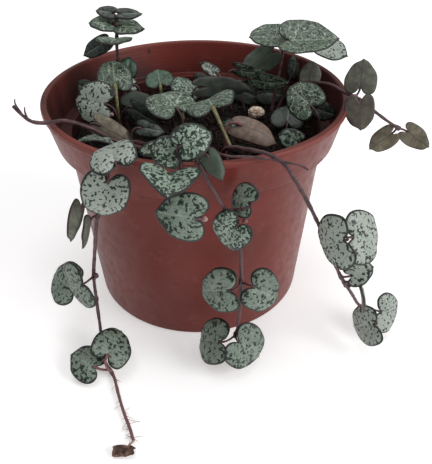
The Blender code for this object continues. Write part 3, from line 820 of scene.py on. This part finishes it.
def heart_edge(length, width, wave):
    """From the right of the notch round to the left of it, with a small point at the tip."""
    half = width / 2
    notch = Vector((STALK * 0.4, 0.0))
    side = Vector((half, 0.24 * length))
    tip = Vector((0.0, length))
    lobe = (Vector((0.26 * half, -0.33 * length)), Vector((half, -0.31 * length)))
    shoulder = (Vector((half, 0.68 * length)), Vector((0.46 * half, 0.95 * length)))
    steps = [k / EDGE_STEPS for k in range(EDGE_STEPS + 1)]
    right = [bezier(notch, *lobe, side, t) for t in steps]
    right += [bezier(side, *shoulder, tip, t) for t in steps[1:]]
    edge = right + [Vector((-p.x, p.y)) for p in right[-2::-1]]
    for k, p in enumerate(edge):
        turn = 2 * pi * k / len(edge)
        p *= 1 + 0.022 * sin(3 * turn + wave) + 0.014 * sin(7 * turn + 2 * wave)
        p.y += 0.040 * length * max(0.0, 1 - abs(p.x) / (0.13 * half)) ** 1.5 * (p.y > 0.5 * length)
    return edge


def stalk_route(base, along, target, reach):
    """From inside the blade, out through its notch and then round to the target."""
    inside_blade = base + along * 1.2
    bend = base - along * reach
    steps = [k / 12 for k in range(13)]
    return [inside_blade] + [base.lerp(bend, t).lerp(bend.lerp(target, t), t) for t in steps]


def leaf_mesh(name, base, heading, pitch, roll, length, width, target, shape, finishes, stout=0.0):
    """A leaf and its stalk. shape is (fold, cup, curl, seed), finishes upper, under, stalk."""
    fold, cup, curl, seed = shape
    h, p, r = radians(heading), radians(pitch), radians(roll)
    along = Vector((cos(p) * cos(h), cos(p) * sin(h), sin(p)))
    level = Vector((-sin(p) * cos(h), -sin(p) * sin(h), cos(p)))
    across = along.cross(level)
    up = cos(r) * level + sin(r) * across
    across = along.cross(up)
    middle = Vector((0.0, 0.38 * length))
    edge = heart_edge(length, width, seed)
    count = len(edge)

    def sheet(q, share):
        """Height of the middle of the blade over its plane."""
        lift = fold * (sqrt(q.x * q.x + 0.8) - 0.9)
        lift += cup * (q - middle).length_squared / width
        lift += curl * max(0.0, q.y - middle.y) ** 2 / length
        return lift + 0.16 * share * sin(q.x * 0.9 + seed) * cos(q.y * 0.8 - seed)

    points, blades, margins = [], [], []
    reach = [(e - middle).length for e in edge]
    for face in (1, -1):
        for share in (0.0, *RINGS[:-1]):
            thick = LEAF_THICKNESS / 2 * (1 - share**5) ** 0.5
            for e, far in zip(edge[:1] if share == 0.0 else edge, reach):
                q = middle.lerp(e, share)
                height = sheet(q, share) + face * thick
                if face == 1:
                    height -= 0.20 * exp(-((q.x / 0.5) ** 2)) * (1 - share**2)
                    uneven = noise.noise(Vector((q.x * 0.45, q.y * 0.45, seed)))
                    height += 0.10 * uneven * (1 - share**4)
                points.append(base + across * q.x + along * q.y + up * height)
                blades.append(Vector((q.x, q.y, seed * 11.0)))
                margins.append((1 - share) * far)
    for e in edge:
        points.append(base + across * e.x + along * e.y + up * sheet(e, 1.0))
        blades.append(Vector((e.x, e.y, seed * 11.0)))
        margins.append(0.0)
    side = 1 + (len(RINGS) - 1) * count
    faces, slots = [], []
    for face in (0, 1):
        first = face * side
        starts = [first + 1 + ring * count for ring in range(len(RINGS) - 1)]
        rows = [[begin + k for k in range(count)] for begin in starts]
        rows.append([2 * side + k for k in range(count)])
        for k in range(count):
            after = (k + 1) % count
            fan = (first, rows[0][k], rows[0][after])
            faces.append(fan if face == 0 else fan[::-1])
            slots.append(face)
            for low, high in zip(rows, rows[1:]):
                quad = (low[k], high[k], high[after], low[after])
                faces.append(quad if face == 0 else quad[::-1])
                slots.append(face)
    # the stalk, thicker where it meets the blade and the stem
    route = stalk_route(base - up * 0.25, along, target, 0.45 * (target - base).length)
    before, sideways, ring_before = route[0] - (route[1] - route[0]), across, None
    for k, place in enumerate(route):
        run = (place - before).normalized()
        sideways = (sideways - sideways.dot(run) * run).normalized()
        upright = run.cross(sideways)
        t = k / (len(route) - 1)
        radius = STALK / 2 * (0.72 + 0.34 * (2 * t - 1) ** 4) * (1 + stout * (1 - 0.5 * t))
        radius *= 0.55 if k == 0 else 1.0
        ring = []
        for turn in range(0, 360, 360 // STALK_SIDES):
            spoke = sideways * cos(radians(turn)) + upright * sin(radians(turn))
            ring.append(len(points))
            points.append(place + spoke * radius)
            blades.append(Vector((t * 10, turn / 60, seed * 11.0)))
            margins.append(t)
        if ring_before:
            for j in range(STALK_SIDES):
                faces.append((ring_before[j], ring_before[j - 1], ring[j - 1], ring[j]))
                slots.append(2)
        else:
            faces.append(tuple(ring))
            slots.append(2)
        before, ring_before = place, ring
    faces.append(tuple(reversed(ring_before)))
    slots.append(2)

    mesh = bpy.data.meshes.new(name)
    mesh.from_pydata([q * MM for q in points], [], faces)
    mesh.polygons.foreach_set("material_index", slots)
    blade = mesh.attributes.new("blade", "FLOAT_VECTOR", "POINT")
    blade.data.foreach_set("vector", [c for q in blades for c in q])
    margin = mesh.attributes.new("margin", "FLOAT", "POINT")
    margin.data.foreach_set("value", margins)
    for finish in finishes:
        mesh.materials.append(finish)
    work = bmesh.new()
    work.from_mesh(mesh)
    bmesh.ops.recalc_face_normals(work, faces=work.faces)
    work.to_mesh(mesh)
    work.free()
    mesh.shade_smooth()
    return mesh


def blade_places(tree):
    """Where each point is on its blade, and how far it is from the margin, in millimetres."""
    blade = add_node(tree, "ShaderNodeAttribute", attribute_name="blade").outputs["Vector"]
    margin = add_node(tree, "ShaderNodeAttribute", attribute_name="margin").outputs["Fac"]
    return blade, margin


def upper_skin(name, ground, grain, fleck, cover, size, web, web_size, gloss=0.42):
    """Silver ground, fine grain, dark flecks, a web of pale veins and a dark margin."""
    made, tree, shader = new_finish(name, gloss, Specular_IOR_Level=0.45)
    blade, margin = blade_places(tree)
    drift = add_node(tree, "ShaderNodeTexNoise", {"Vector": blade, "Scale": 0.5, "Detail": 2.0})
    sway = add_node(
        tree,
        "ShaderNodeVectorMath",
        {0: about_zero(tree, drift.outputs["Color"]), 1: Vector((1.5, 1.5, 0.0)), 2: blade},
        operation="MULTIPLY_ADD",
    ).outputs[0]
    fine = cloud(tree, blade, 3.2, 3, 0.6)
    colour = blend_colours(tree, stepped(tree, fine, 0.44, 0.60), ground, grain)
    tone = cloud(tree, blade, 0.22, 1)
    colour = blend_colours(tree, stepped(tree, tone, 0.35, 0.7, 0.0, 0.35), colour, grain)
    flecks = cloud(tree, sway, size, 2, 0.42)
    # flecks crowd towards the margin and leave the middle of the leaf paler
    crowd = stepped(tree, margin, 0.5, 3.5, 0.045, 0.0)
    flecks = stepped(tree, sums(tree, "ADD", flecks, crowd), cover, cover + 0.035)
    colour = blend_colours(tree, flecks, colour, fleck)
    # a web of pale veins where two slow clouds cross their middle values
    coarse = cloud(tree, sway, web_size, 0.6)
    close = cloud(tree, sway, web_size * 1.9, 0.4)
    first = sums(tree, "ABSOLUTE", sums(tree, "SUBTRACT", coarse, 0.5))
    second = sums(tree, "ABSOLUTE", sums(tree, "SUBTRACT", close, 0.46))
    ridge = sums(tree, "MINIMUM", first, sums(tree, "MULTIPLY", second, 1.3))
    vein = stepped(tree, ridge, 0.024, 0.006, 0.0, web)
    colour = blend_colours(tree, vein, colour, PALE_VEIN)
    parts = add_node(tree, "ShaderNodeSeparateXYZ", {"Vector": blade})
    off_middle = sums(tree, "ABSOLUTE", parts.outputs["X"])
    midrib = stepped(tree, off_middle, 0.34, 0.08, 0.0, 0.25 + 0.4 * web)
    inner = sums(tree, "MULTIPLY", midrib, stepped(tree, margin, 0.8, 2.5))
    colour = blend_colours(tree, inner, colour, PALE_VEIN)
    jagged = sums(tree, "MULTIPLY", sums(tree, "SUBTRACT", fine, 0.5), 0.9)
    ragged = sums(tree, "ADD", margin, jagged)
    colour = blend_colours(tree, stepped(tree, ragged, 0.85, 0.38), colour, LEAF_EDGE)
    tree.links.new(colour, shader.inputs["Base Color"])
    relief = sums(tree, "ADD", sums(tree, "MULTIPLY", flecks, -0.5), fine)
    relief = sums(tree, "ADD", relief, sums(tree, "MULTIPLY", vein, 0.4))
    bumped(tree, shader, relief, 0.00014, 0.6)
    return made


def under_skin(name, ground, shade):
    """Olive with a flush of purple, faint darker veins and a dark margin."""
    made, tree, shader = new_finish(name, 0.5, Specular_IOR_Level=0.4)
    blade, margin = blade_places(tree)
    flush = stepped(tree, cloud(tree, blade, 0.35, 3), 0.35, 0.66)
    colour = blend_colours(tree, flush, ground, shade)
    veins = add_node(
        tree, "ShaderNodeTexVoronoi", {"Vector": blade, "Scale": 0.22}, feature="DISTANCE_TO_EDGE"
    )
    vein = stepped(tree, veins.outputs["Distance"], 0.06, 0.01, 0.0, 0.45)
    parts = add_node(tree, "ShaderNodeSeparateXYZ", {"Vector": blade})
    midrib = stepped(tree, sums(tree, "ABSOLUTE", parts.outputs["X"]), 0.32, 0.1, 0.0, 0.7)
    colour = blend_colours(tree, sums(tree, "MAXIMUM", vein, midrib), colour, UNDER_VEIN)
    specks = stepped(tree, cloud(tree, blade, 2.6, 3), 0.5, 0.7, 0.0, 0.3)
    colour = blend_colours(tree, specks, colour, shade)
    colour = blend_colours(tree, stepped(tree, margin, 0.45, 0.12), colour, UNDER_EDGE)
    tree.links.new(colour, shader.inputs["Base Color"])
    bumped(tree, shader, cloud(tree, blade, 2.2, 4), 0.00012, 0.5)
    return made


PALE_VEIN = screen(168, 182, 166)
LEAF_EDGE = screen(22, 28, 23)
UNDER_VEIN = screen(70, 60, 50)
UNDER_EDGE = screen(60, 38, 40)
# Kind of upper side: silver ground, greener grain and flecks, then how scarce the flecks are, their
# size to the millimetre, and the strength and size of the web of veins
UPPER = {
    "sparse": upper_skin(
        "silver_leaf", screen(166, 173, 165), screen(128, 140, 130), screen(20, 34, 27),
        0.572, 0.90, 0.0, 0.3,
    ),
    "flecked": upper_skin(
        "flecked_leaf", screen(134, 146, 134), screen(86, 104, 90), screen(16, 36, 25),
        0.545, 0.80, 0.20, 0.16,
    ),
    "dense": upper_skin(
        "mottled_leaf", screen(156, 172, 158), screen(106, 126, 110), screen(18, 36, 26),
        0.50, 1.1, 0.15, 0.35,
    ),
    "webbed": upper_skin(
        "webbed_leaf", screen(90, 106, 88), screen(62, 80, 62), screen(32, 48, 36),
        0.545, 0.7, 0.85, 0.36,
    ),
    "green": upper_skin(
        "green_leaf", screen(74, 102, 84), screen(54, 82, 64), screen(40, 60, 47),
        0.56, 0.7, 0.10, 0.3,
    ),
    # painted shade: a darker copy of the leaf, for leaves that sit in shade deep in the pot and under
    # others
    "dark": upper_skin(
        "shaded_leaf", screen(58, 66, 60), screen(44, 54, 47), screen(30, 38, 33),
        0.55, 0.6, 0.12, 0.3,
    ),
}
UNDER = {
    "olive": under_skin("olive_underside", screen(118, 112, 94), screen(92, 86, 72)),
    "grey": under_skin("grey_underside", screen(100, 102, 90), screen(76, 78, 68)),
    # painted shade: a darker copy of the underside, for undersides in shade
    "dark": under_skin("shaded_underside", screen(72, 80, 74), screen(56, 64, 58)),
    "dusk": under_skin("dusky_underside", screen(84, 80, 70), screen(64, 60, 54)),
    "green": under_skin("green_underside", screen(64, 80, 64), screen(46, 62, 49)),
    "mauve": under_skin("mauve_underside", screen(122, 104, 92), screen(98, 82, 74)),
}
STALKS = {
    "purple": PURPLE,
    "pink": stem_skin("pink_stalk", screen(96, 56, 60), screen(140, 88, 92), screen(150, 104, 100)),
    "pale": stem_skin("pale_bud", screen(150, 116, 112), screen(184, 156, 148), screen(160, 120, 116)),
    "green": stem_skin("green_stalk", screen(92, 94, 58), screen(146, 146, 102), screen(120, 96, 74)),
}
# Kinds of upper side, underside and stalk, then fold along the middle, cup and curl of the tip
LOOKS = {
    "leaf_left_1": ("sparse", "olive", "purple", 0.22, -0.35, -0.3),
    "leaf_left_2": ("sparse", "olive", "purple", 0.20, -0.40, -0.2),
    "leaf_left_3": ("flecked", "grey", "purple", 0.35, 0.10, 0.0),
    "leaf_left_4": ("flecked", "grey", "purple", 0.30, 0.10, 0.0),
    "leaf_left_5": ("flecked", "olive", "purple", 0.12, -0.25, 0.0),
    "leaf_left_6": ("flecked", "olive", "purple", 0.12, -0.25, 0.0),
    "leaf_left_7": ("flecked", "olive", "pink", 0.14, -0.30, -0.2),
    "leaf_left_8": ("flecked", "olive", "pink", 0.14, -0.30, -0.2),
    "leaf_centre_2": ("dense", "olive", "purple", 0.25, -0.30, -0.3),
    "leaf_cluster_1": ("dense", "olive", "purple", 0.22, -0.35, -0.2),
    "leaf_cluster_2": ("dense", "olive", "purple", 0.22, -0.35, -0.2),
    "leaf_cluster_3": ("dense", "olive", "purple", 0.48, -0.20, -0.1),
    "leaf_cluster_4": ("flecked", "green", "purple", 0.35, 0.10, 0.0),
    "leaf_right_front_1": ("sparse", "olive", "purple", 0.18, -0.35, -0.1),
    "leaf_right_front_2": ("sparse", "olive", "purple", 0.20, -0.25, -0.1),
    "leaf_right_front_3": ("sparse", "olive", "purple", 0.15, -0.25, 0.0),
    "leaf_right_front_4": ("sparse", "olive", "purple", 0.15, -0.25, 0.0),
    "leaf_right_front_5": ("sparse", "olive", "purple", 0.18, -0.30, -0.1),
    "leaf_right_front_6": ("sparse", "olive", "purple", 0.18, -0.30, -0.1),
    "leaf_right_1": ("flecked", "grey", "purple", 0.14, -0.20, -0.1),
    "leaf_right_2": ("flecked", "dusk", "purple", 0.14, -0.20, -0.1),
    "leaf_back_right_1": ("webbed", "olive", "pink", 0.20, 0.10, 0.0),
    "leaf_back_right_2": ("webbed", "olive", "pink", 0.15, 0.10, 0.0),
    "leaf_back_right_3": ("sparse", "olive", "pink", 0.15, 0.10, 0.0),
    "leaf_back_left_1": ("webbed", "olive", "purple", 0.15, -0.1, 0.0),
    "leaf_back_left_2": ("webbed", "olive", "purple", 0.15, -0.1, 0.0),
    "leaf_back_left_3": ("webbed", "olive", "purple", 0.15, -0.1, 0.0),
    "leaf_back_left_4": ("dark", "olive", "purple", 0.15, -0.1, 0.0),
    "leaf_back_left_5": ("dark", "olive", "pink", 0.15, 0.1, 0.0),
    "leaf_back_left_6": ("dark", "olive", "pink", 0.15, 0.1, 0.0),
    "leaf_inner_1": ("sparse", "olive", "purple", 0.08, -0.25, 0.0),
    "leaf_inner_2": ("webbed", "olive", "green", 0.10, -0.40, -0.3),
    "leaf_inner_3": ("green", "olive", "green", 0.15, -0.20, 0.0),
    "leaf_inner_4": ("webbed", "olive", "purple", 0.15, -0.40, -0.3),
    "leaf_inner_5": ("dense", "olive", "green", 0.15, -0.20, 0.0),
    "leaf_inner_6": ("dark", "dark", "purple", 0.10, -0.20, 0.0),
    "leaf_inner_7": ("flecked", "olive", "purple", 0.15, 0.20, 0.0),
    "leaf_inner_8": ("webbed", "olive", "green", 0.25, -0.30, -0.2),
    "leaf_inner_9": ("flecked", "mauve", "pink", 0.12, 0.35, 0.0),
    "leaf_inner_10": ("webbed", "olive", "purple", 0.20, -0.40, -0.4),
}
PLAIN_LOOK = ("flecked", "olive", "purple", 0.14, -0.30, -0.1)
# Stalks of inner leaves that lean, and where each ends
LEANING = {"leaf_inner_8": rim(291.5, -23.4, -8.0)}
for number, (name, row) in enumerate(LEAVES.items()):
    stem, base, heading, pitch, roll, length, width = row
    upper, under, stalk, fold, cup, curl = LOOKS.get(name, PLAIN_LOOK)
    if stem == "soil":
        foot = base - polar(heading, 3.0, 0.0)
        target = LEANING.get(name, Vector((foot.x, foot.y, SOIL_TOP - ROOTED)))
    else:
        target = nearest_on(stem_paths[stem], base)
    finishes = (UPPER[upper], UNDER[under], STALKS[stalk])
    shape = (fold, cup, curl, 1.7 * number)
    stout = {"green": 0.9, "pink": 0.35}.get(stalk, 0.0)
    mesh = leaf_mesh(name, base, heading, pitch, roll, length, width, target, shape, finishes, stout)
    leaf = place_piece("heart_" + name, mesh)
    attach(leaf, "root")
    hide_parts(name)


# Young leaves, too small to be parts of their own, all on purple stalks. A separate program worked
# these rows out, and a few were then changed by hand.
# name: place, heading, pitch, roll, length, width, kinds of upper side and underside
YOUNG_SHAPE = (0.15, -0.2, -0.1)
YOUNG = {
    "young_1": (inside(151.5, 0.67, 19), 61, 64, 35, 7, 8, "green", "olive"),
    "young_2": (inside(144.8, 0.70, 13), -171, 3, -24, 12.5, 8.5, "sparse", "olive"),
    "young_3": (inside(160.5, 0.50, 9), -3, -23, 84, 16, 6.5, "dark", "olive"),
    "young_4": (inside(190.5, 0.51, 13), -9, -34, 81, 11.5, 8.5, "dark", "olive"),
    "young_5": (inside(228, 0.60, 13), 2, -12, 60, 9, 6.5, "dark", "dark"),
    "young_6": (inside(226.5, 0.86, 13), -172, 7, 2, 13.5, 5.5, "flecked", "olive"),
    "young_7": (rim(260.5, -4.8, 3.0), -171, -6, -62, 7.5, 5.5, "dense", "olive"),
    "young_8": (inside(80, 0.26, 15), 1, -1, -92, 19.5, 9, "dark", "dark"),
    "young_9": (inside(64.5, 0.38, 19), 168, 29, -66, 8, 5, "sparse", "olive"),
    "young_10": (inside(49.5, 0.54, 19), -5, -7, 109, 12, 7.5, "webbed", "olive"),
    "young_11": (inside(41.5, 0.62, 15), -7, -8, 103, 16.5, 8.5, "webbed", "olive"),
    "young_12": (inside(48, 1.00, 20.5), -174, -31, 132, 15, 12.5, "dark", "green"),
    "young_13": (inside(38.5, 1.15, 17), -140, -64, -39, 8.5, 8, "dark", "olive"),
    "young_14": (inside(14.5, 0.97, 17), 58, 67, -159, 8.5, 9, "dark", "grey"),
    "young_15": (inside(354.5, 0.95, 13), -11, -16, 67, 9.5, 8, "dark", "olive"),
    "young_16": (inside(356.5, 0.75, 5), 81, 24, 1, 10.5, 14, "dark", "olive"),
    "young_17": (inside(326.5, 0.94, 9), 163, 15, -62, 8.5, 8, "flecked", "olive"),
    "young_18": (inside(59, 0.71, 6), -10, -19, 66, 14.5, 10, "dark", "olive"),
    "young_19": (inside(299.5, 0.46, 11), 25, 41, 53, 5.5, 6, "webbed", "olive"),
    "young_20": (inside(91.5, 0.80, 5), -9, -26, 65, 14, 12, "dark", "olive"),
    "young_21": (inside(44, 0.81, 6), 12, -15, 71, 11, 11, "dark", "olive"),
    "young_22": (inside(155.5, 1.02, 9), 173, 26, -61, 8, 8, "dark", "olive"),
}
for number, (name, row) in enumerate(YOUNG.items()):
    base, heading, pitch, roll, length, width, upper, under = row
    foot = base - polar(heading, 2.0, 0.0)
    target = Vector((foot.x, foot.y, SOIL_TOP - ROOTED))
    reach = foot.xy.length
    if reach > SOIL_RADIUS - 2:
        target = Vector((*(foot.xy * ((SOIL_RADIUS - 2) / reach)), SOIL_TOP - ROOTED))
    finishes = (UPPER[upper], UNDER[under], PURPLE)
    shape = (*YOUNG_SHAPE, 40.3 + 2.3 * number)
    mesh = leaf_mesh(name, base, heading, pitch, roll, length, width, target, shape, finishes)
    leaf = place_piece(name, mesh)
    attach(leaf, "root")


# Buds
# Swollen knots, a millimetre or two across, where a stem branches or a new leaf or tuber starts.
# name: place, size, skin
BUDS = {
    "bud_left": (drop(236.2, 5.6, 0.44), (2.0, 1.6, 2.6), "purple"),
    "bud_inner": (inside(201.7, 0.69, 14), (1.6, 1.6, 1.5), "pale"),
    "bud_green": (inside(311.4, 0.62, 8.5), (3.4, 3.0, 3.2), "green"),
    "bud_short": (drop(273.9, 8.4, 0.835), (1.9, 1.5, 2.0), "pale"),
    "bud_centre": (drop(285.5, 6.0, 0.79), (1.8, 1.5, 1.7), "pink"),
    "bud_right_front": (drop(308.3, 12.9, 0.68), (2.0, 1.6, 1.9), "purple"),
    "bud_right_front_low": (drop(315.2, 20.4, 0.41), (3.2, 2.4, 2.2), "purple"),
    "bud_right": (rim(344.9, 1.8, 3.6), (2.6, 2.2, 2.2), "pink"),
}
for name, (place, size, skin) in BUDS.items():
    half = Vector(size) / 2
    bud = place_piece(name, broken_lump(name, place - half, place + half, 0.3, 3))
    bud.data.materials.append(STALKS[skin])
    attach(bud, "root")


# Dried leaf and root hairs
# A dead leaf, brown and crumpled, hangs on at the end of the stem that lies on the surface,
# among the fine pale hairs that this stem puts out where it touches down.
DRIED_LOW, DRIED_HIGH = (Vector(corner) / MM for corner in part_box("dried_leaf"))
CRUMPLE_SEED = 1


def crumpled_sheet(name, low, high):
    """A thin leaf folded over on itself, in a box."""
    # noise_vector draws its offsets from this seed, and from the clock if none is set
    noise.seed_set(CRUMPLE_SEED)
    work = bmesh.new()
    across, along = 28, 22
    rows = []
    middle, half = (low + high) / 2, (high - low) / 2
    for i in range(across + 1):
        u = 2 * i / across - 1
        row = []
        for j in range(along + 1):
            v = 2 * j / along - 1
            edge = sqrt(max(0.0, 1 - 0.5 * u * u))
            p = Vector((u * 0.95, v * edge * 0.9, 0.55 * cos(2.2 * v + u) - 0.2))
            p += 0.30 * noise.noise_vector(Vector((u * 1.7, v * 1.9, 4.0)))
            p.x, p.y, p.z = (max(-1.0, min(1.0, c)) for c in p)
            row.append(work.verts.new((middle + Vector(a * b for a, b in zip(p, half))) * MM))
        rows.append(row)
    for low_row, high_row in zip(rows, rows[1:]):
        for j in range(along):
            work.faces.new((low_row[j], low_row[j + 1], high_row[j + 1], high_row[j]))
    return mesh_from(work, name)


def withered_skin():
    made, tree, shader = new_finish("withered_leaf", 0.8, Specular_IOR_Level=0.3)
    where = own_places(tree)
    patches = stepped(tree, cloud(tree, where, 420, 5, 0.7), 0.38, 0.66)
    colour = blend_colours(tree, patches, screen(64, 46, 42), screen(136, 106, 92))
    tree.links.new(colour, shader.inputs["Base Color"])
    bumped(tree, shader, cloud(tree, where, 1100, 5, 0.7), 0.0004)
    return made


dried = place_piece("dried_leaf", crumpled_sheet("dried_leaf", DRIED_LOW, DRIED_HIGH))
thickened = dried.modifiers.new("thickness", "SOLIDIFY")
thickened.thickness = 0.3 * MM
finish_mesh(dried, withered_skin())
dried.data.shade_smooth()
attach(dried, "root")
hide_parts("dried_leaf")

hair_skin, hair_tree, hair_shader = new_finish("root_hair", 0.6)
hair_tone = stepped(hair_tree, cloud(hair_tree, own_places(hair_tree), 600, 2), 0.35, 0.65)
hair_colour = blend_colours(hair_tree, hair_tone, screen(160, 134, 120), screen(104, 76, 70))
hair_tree.links.new(hair_colour, hair_shader.inputs["Base Color"])
dice = random.Random(11)
hairs = []
trail = stem_paths["stem_left"]
for _ in range(26):
    root = trail[-2 - int(dice.random() ** 1.2 * 24)]
    way = Vector((dice.uniform(-1, 1), dice.uniform(-1, 0.4), dice.uniform(-0.25, 0.3)))
    reach = dice.uniform(1.6, 4.4)
    places = []
    for j in range(7):
        t = j / 6
        droop = Vector((0.8 * t * t, 0, -0.9 * t * t)) * reach * 0.3
        p = root + way.normalized() * reach * t + droop
        places.append(Vector((p.x, p.y, max(0.12, p.z))))
    hairs.append((places, [0.12 * (1 - 0.6 * j / 6) for j in range(7)]))
# the shrivelled stalk that still holds the dead leaf
last = trail[-1]
hold = (DRIED_LOW + DRIED_HIGH) / 2 + Vector((1.5, 1.0, 0.6))
stalk_places = [last, last.lerp(hold, 0.35) + Vector((0.5, 0, 0.7)), last.lerp(hold, 0.7), hold]
shrivelled = smooth_path(stalk_places, 0.6)
hairs.append((shrivelled, [0.42] * len(shrivelled)))
hair_piece = grow_stems("root_hairs", hairs, hair_skin, {"Sides": 5, "Wander": 0.4 * MM})


# Floor and light
# A plain white sheet under a broad soft light from the right and a weaker one over the top.
floor_mesh = bmesh.new()
bmesh.ops.create_grid(floor_mesh, x_segments=1, y_segments=1, size=6.0)
bmesh.ops.translate(floor_mesh, verts=floor_mesh.verts, vec=(0, 0, -0.0002))
floor = place_piece("floor", mesh_from(floor_mesh, "floor"))
white_sheet, _, _ = new_finish(
    "white_sheet",
    0.9,
    Base_Color=(0.92, 0.92, 0.92, 1),
    Specular_IOR_Level=0.0,
    Emission_Color=(1, 1, 1, 1),
    Emission_Strength=0.36,
)
floor.data.materials.append(white_sheet)

world = bpy.data.worlds.new("studio")
world.use_nodes = True
world.node_tree.nodes["Background"].inputs["Color"].default_value = (1, 1, 1, 1)
world.node_tree.nodes["Background"].inputs["Strength"].default_value = 0.38
scene.world = world
for name, place, aim, size, power in (
    ("key", (0.85, -0.42, 0.62), (0, 0, 0.06), 0.6, 6.5),
    ("top", (-0.1, 0.1, 1.1), (0, 0, 0.05), 0.9, 4.5),
):
    lamp = bpy.data.lights.new(name, "AREA")
    lamp.shape = "DISK"
    lamp.size = size
    lamp.energy = power
    light = bpy.data.objects.new(name, lamp)
    light.location = place
    light.rotation_euler = (Vector(aim) - Vector(place)).to_track_quat("-Z", "Y").to_euler()
    scene.collection.objects.link(light)
scene.view_settings.view_transform = "Standard"
